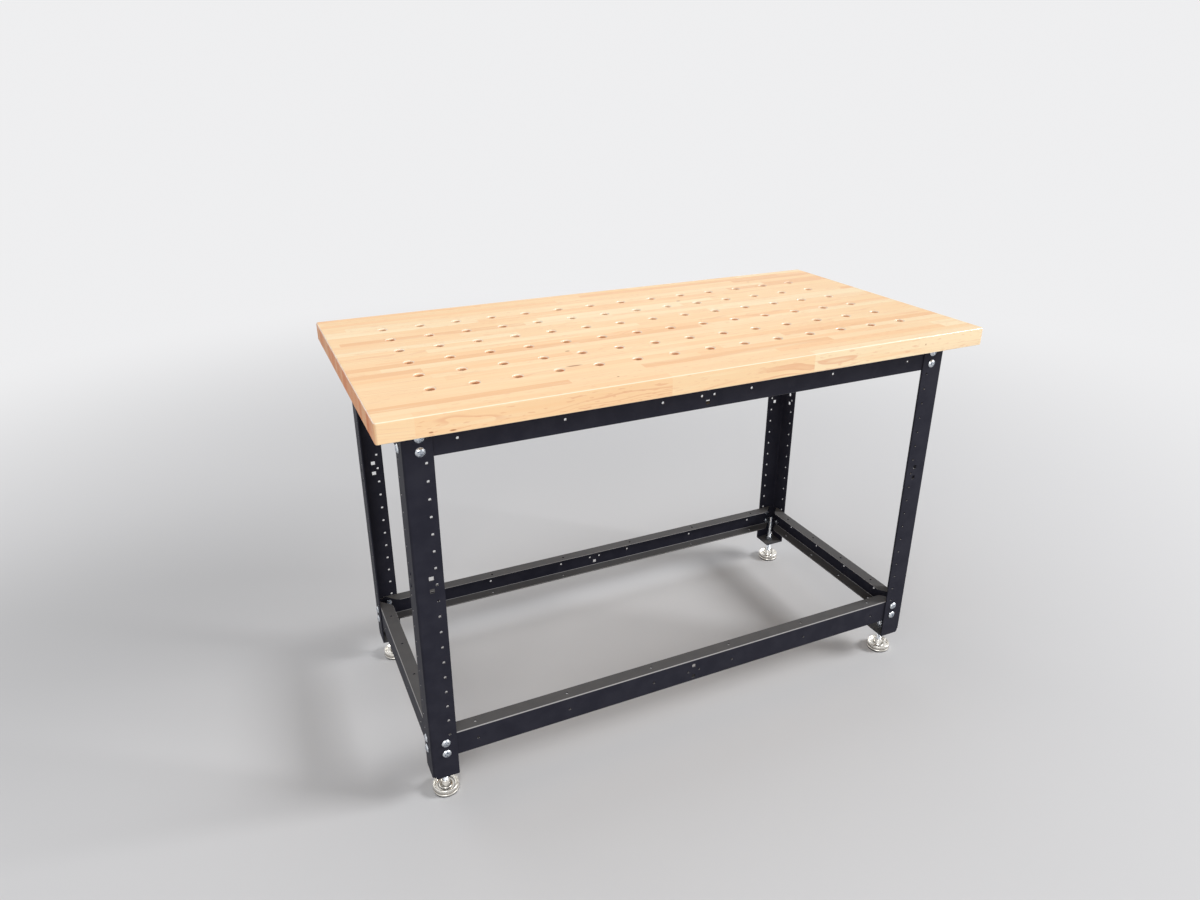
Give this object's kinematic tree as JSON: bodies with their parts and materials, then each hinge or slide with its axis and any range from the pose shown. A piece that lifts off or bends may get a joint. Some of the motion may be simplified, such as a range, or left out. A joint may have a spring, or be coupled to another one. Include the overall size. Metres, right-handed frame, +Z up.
{
  "type": "assembly table",
  "caption": "Assembly table: a butcher-block timber top with a grid of dog holes on a bolted steel frame of perforated angle legs and channel rails, standing on levelling feet.",
  "frame": {"origin": "on the floor under the centre of the top", "axes": "+X along the table's length, +Y from the front long side to the back, +Z up"},
  "size_m": [1.524, 0.762, 1.01],
  "materials": {
    "timber": "oiled butcher block",
    "powder_coat": "satin black powder coat",
    "zinc": "bright zinc plate",
    "foot_metal": "bright nickel plate"
  },
  "bodies": {
    "frame": {"worktop": "timber", "upper_rail_front": "powder_coat", "upper_rail_right": "powder_coat", "upper_rail_back": "powder_coat", "upper_rail_left": "powder_coat", "lower_rail_front": "powder_coat", "lower_rail_right": "powder_coat", "lower_rail_back": "powder_coat", "lower_rail_left": "powder_coat", "leg_front_left": "powder_coat", "bolt_front_left_long_upper_high": "zinc", "bolt_front_left_long_upper_low": "zinc", "bolt_front_left_long_lower_high": "zinc", "bolt_front_left_long_lower_low": "zinc", "bolt_front_left_end_upper_high": "zinc", "bolt_front_left_end_upper_low": "zinc", "bolt_front_left_end_lower_high": "zinc", "bolt_front_left_end_lower_low": "zinc", "foot_nut_front_left": "zinc", "leg_front_right": "powder_coat", "bolt_front_right_long_upper_high": "zinc", "bolt_front_right_long_upper_low": "zinc", "bolt_front_right_long_lower_high": "zinc", "bolt_front_right_long_lower_low": "zinc", "bolt_front_right_end_upper_high": "zinc", "bolt_front_right_end_upper_low": "zinc", "bolt_front_right_end_lower_high": "zinc", "bolt_front_right_end_lower_low": "zinc", "foot_nut_front_right": "zinc", "leg_back_left": "powder_coat", "bolt_back_left_long_upper_high": "zinc", "bolt_back_left_long_upper_low": "zinc", "bolt_back_left_long_lower_high": "zinc", "bolt_back_left_long_lower_low": "zinc", "bolt_back_left_end_upper_high": "zinc", "bolt_back_left_end_upper_low": "zinc", "bolt_back_left_end_lower_high": "zinc", "bolt_back_left_end_lower_low": "zinc", "foot_nut_back_left": "zinc", "leg_back_right": "powder_coat", "bolt_back_right_long_upper_high": "zinc", "bolt_back_right_long_upper_low": "zinc", "bolt_back_right_long_lower_high": "zinc", "bolt_back_right_long_lower_low": "zinc", "bolt_back_right_end_upper_high": "zinc", "bolt_back_right_end_upper_low": "zinc", "bolt_back_right_end_lower_high": "zinc", "bolt_back_right_end_lower_low": "zinc", "foot_nut_back_right": "zinc"},
    "foot_front_left": {"foot_pad_front_left": "foot_metal"},
    "stem_front_left": {"foot_stem_front_left": "zinc"},
    "foot_front_right": {"foot_pad_front_right": "foot_metal"},
    "stem_front_right": {"foot_stem_front_right": "zinc"},
    "foot_back_left": {"foot_pad_back_left": "foot_metal"},
    "stem_back_left": {"foot_stem_back_left": "zinc"},
    "foot_back_right": {"foot_pad_back_right": "foot_metal"},
    "stem_back_right": {"foot_stem_back_right": "zinc"}
  },
  "joints": [
    {"name": "foot_height_front_left", "type": "slide", "parent": "frame", "child": "foot_front_left", "axis": [0, 0, 1], "range_m": [-0.07, 0.035]},
    {"name": "stem_turn_front_left", "type": "hinge", "parent": "foot_front_left", "child": "stem_front_left", "pos_m": [-0.669, -0.285, 0.05], "axis": [0, 0, 1], "continuous": true},
    {"name": "foot_height_front_right", "type": "slide", "parent": "frame", "child": "foot_front_right", "axis": [0, 0, 1], "range_m": [-0.07, 0.035]},
    {"name": "stem_turn_front_right", "type": "hinge", "parent": "foot_front_right", "child": "stem_front_right", "pos_m": [0.669, -0.285, 0.05], "axis": [0, 0, 1], "continuous": true},
    {"name": "foot_height_back_left", "type": "slide", "parent": "frame", "child": "foot_back_left", "axis": [0, 0, 1], "range_m": [-0.07, 0.035]},
    {"name": "stem_turn_back_left", "type": "hinge", "parent": "foot_back_left", "child": "stem_back_left", "pos_m": [-0.669, 0.285, 0.05], "axis": [0, 0, 1], "continuous": true},
    {"name": "foot_height_back_right", "type": "slide", "parent": "frame", "child": "foot_back_right", "axis": [0, 0, 1], "range_m": [-0.07, 0.035]},
    {"name": "stem_turn_back_right", "type": "hinge", "parent": "foot_back_right", "child": "stem_back_right", "pos_m": [0.669, 0.285, 0.05], "axis": [0, 0, 1], "continuous": true}
  ],
  "couplings": [
    {"joint": "stem_turn_front_left", "follows": "foot_height_front_left", "rad_per_m": 3215.8},
    {"joint": "stem_turn_front_right", "follows": "foot_height_front_right", "rad_per_m": 3215.8},
    {"joint": "stem_turn_back_left", "follows": "foot_height_back_left", "rad_per_m": 3215.8},
    {"joint": "stem_turn_back_right", "follows": "foot_height_back_right", "rad_per_m": 3215.8}
  ]
}
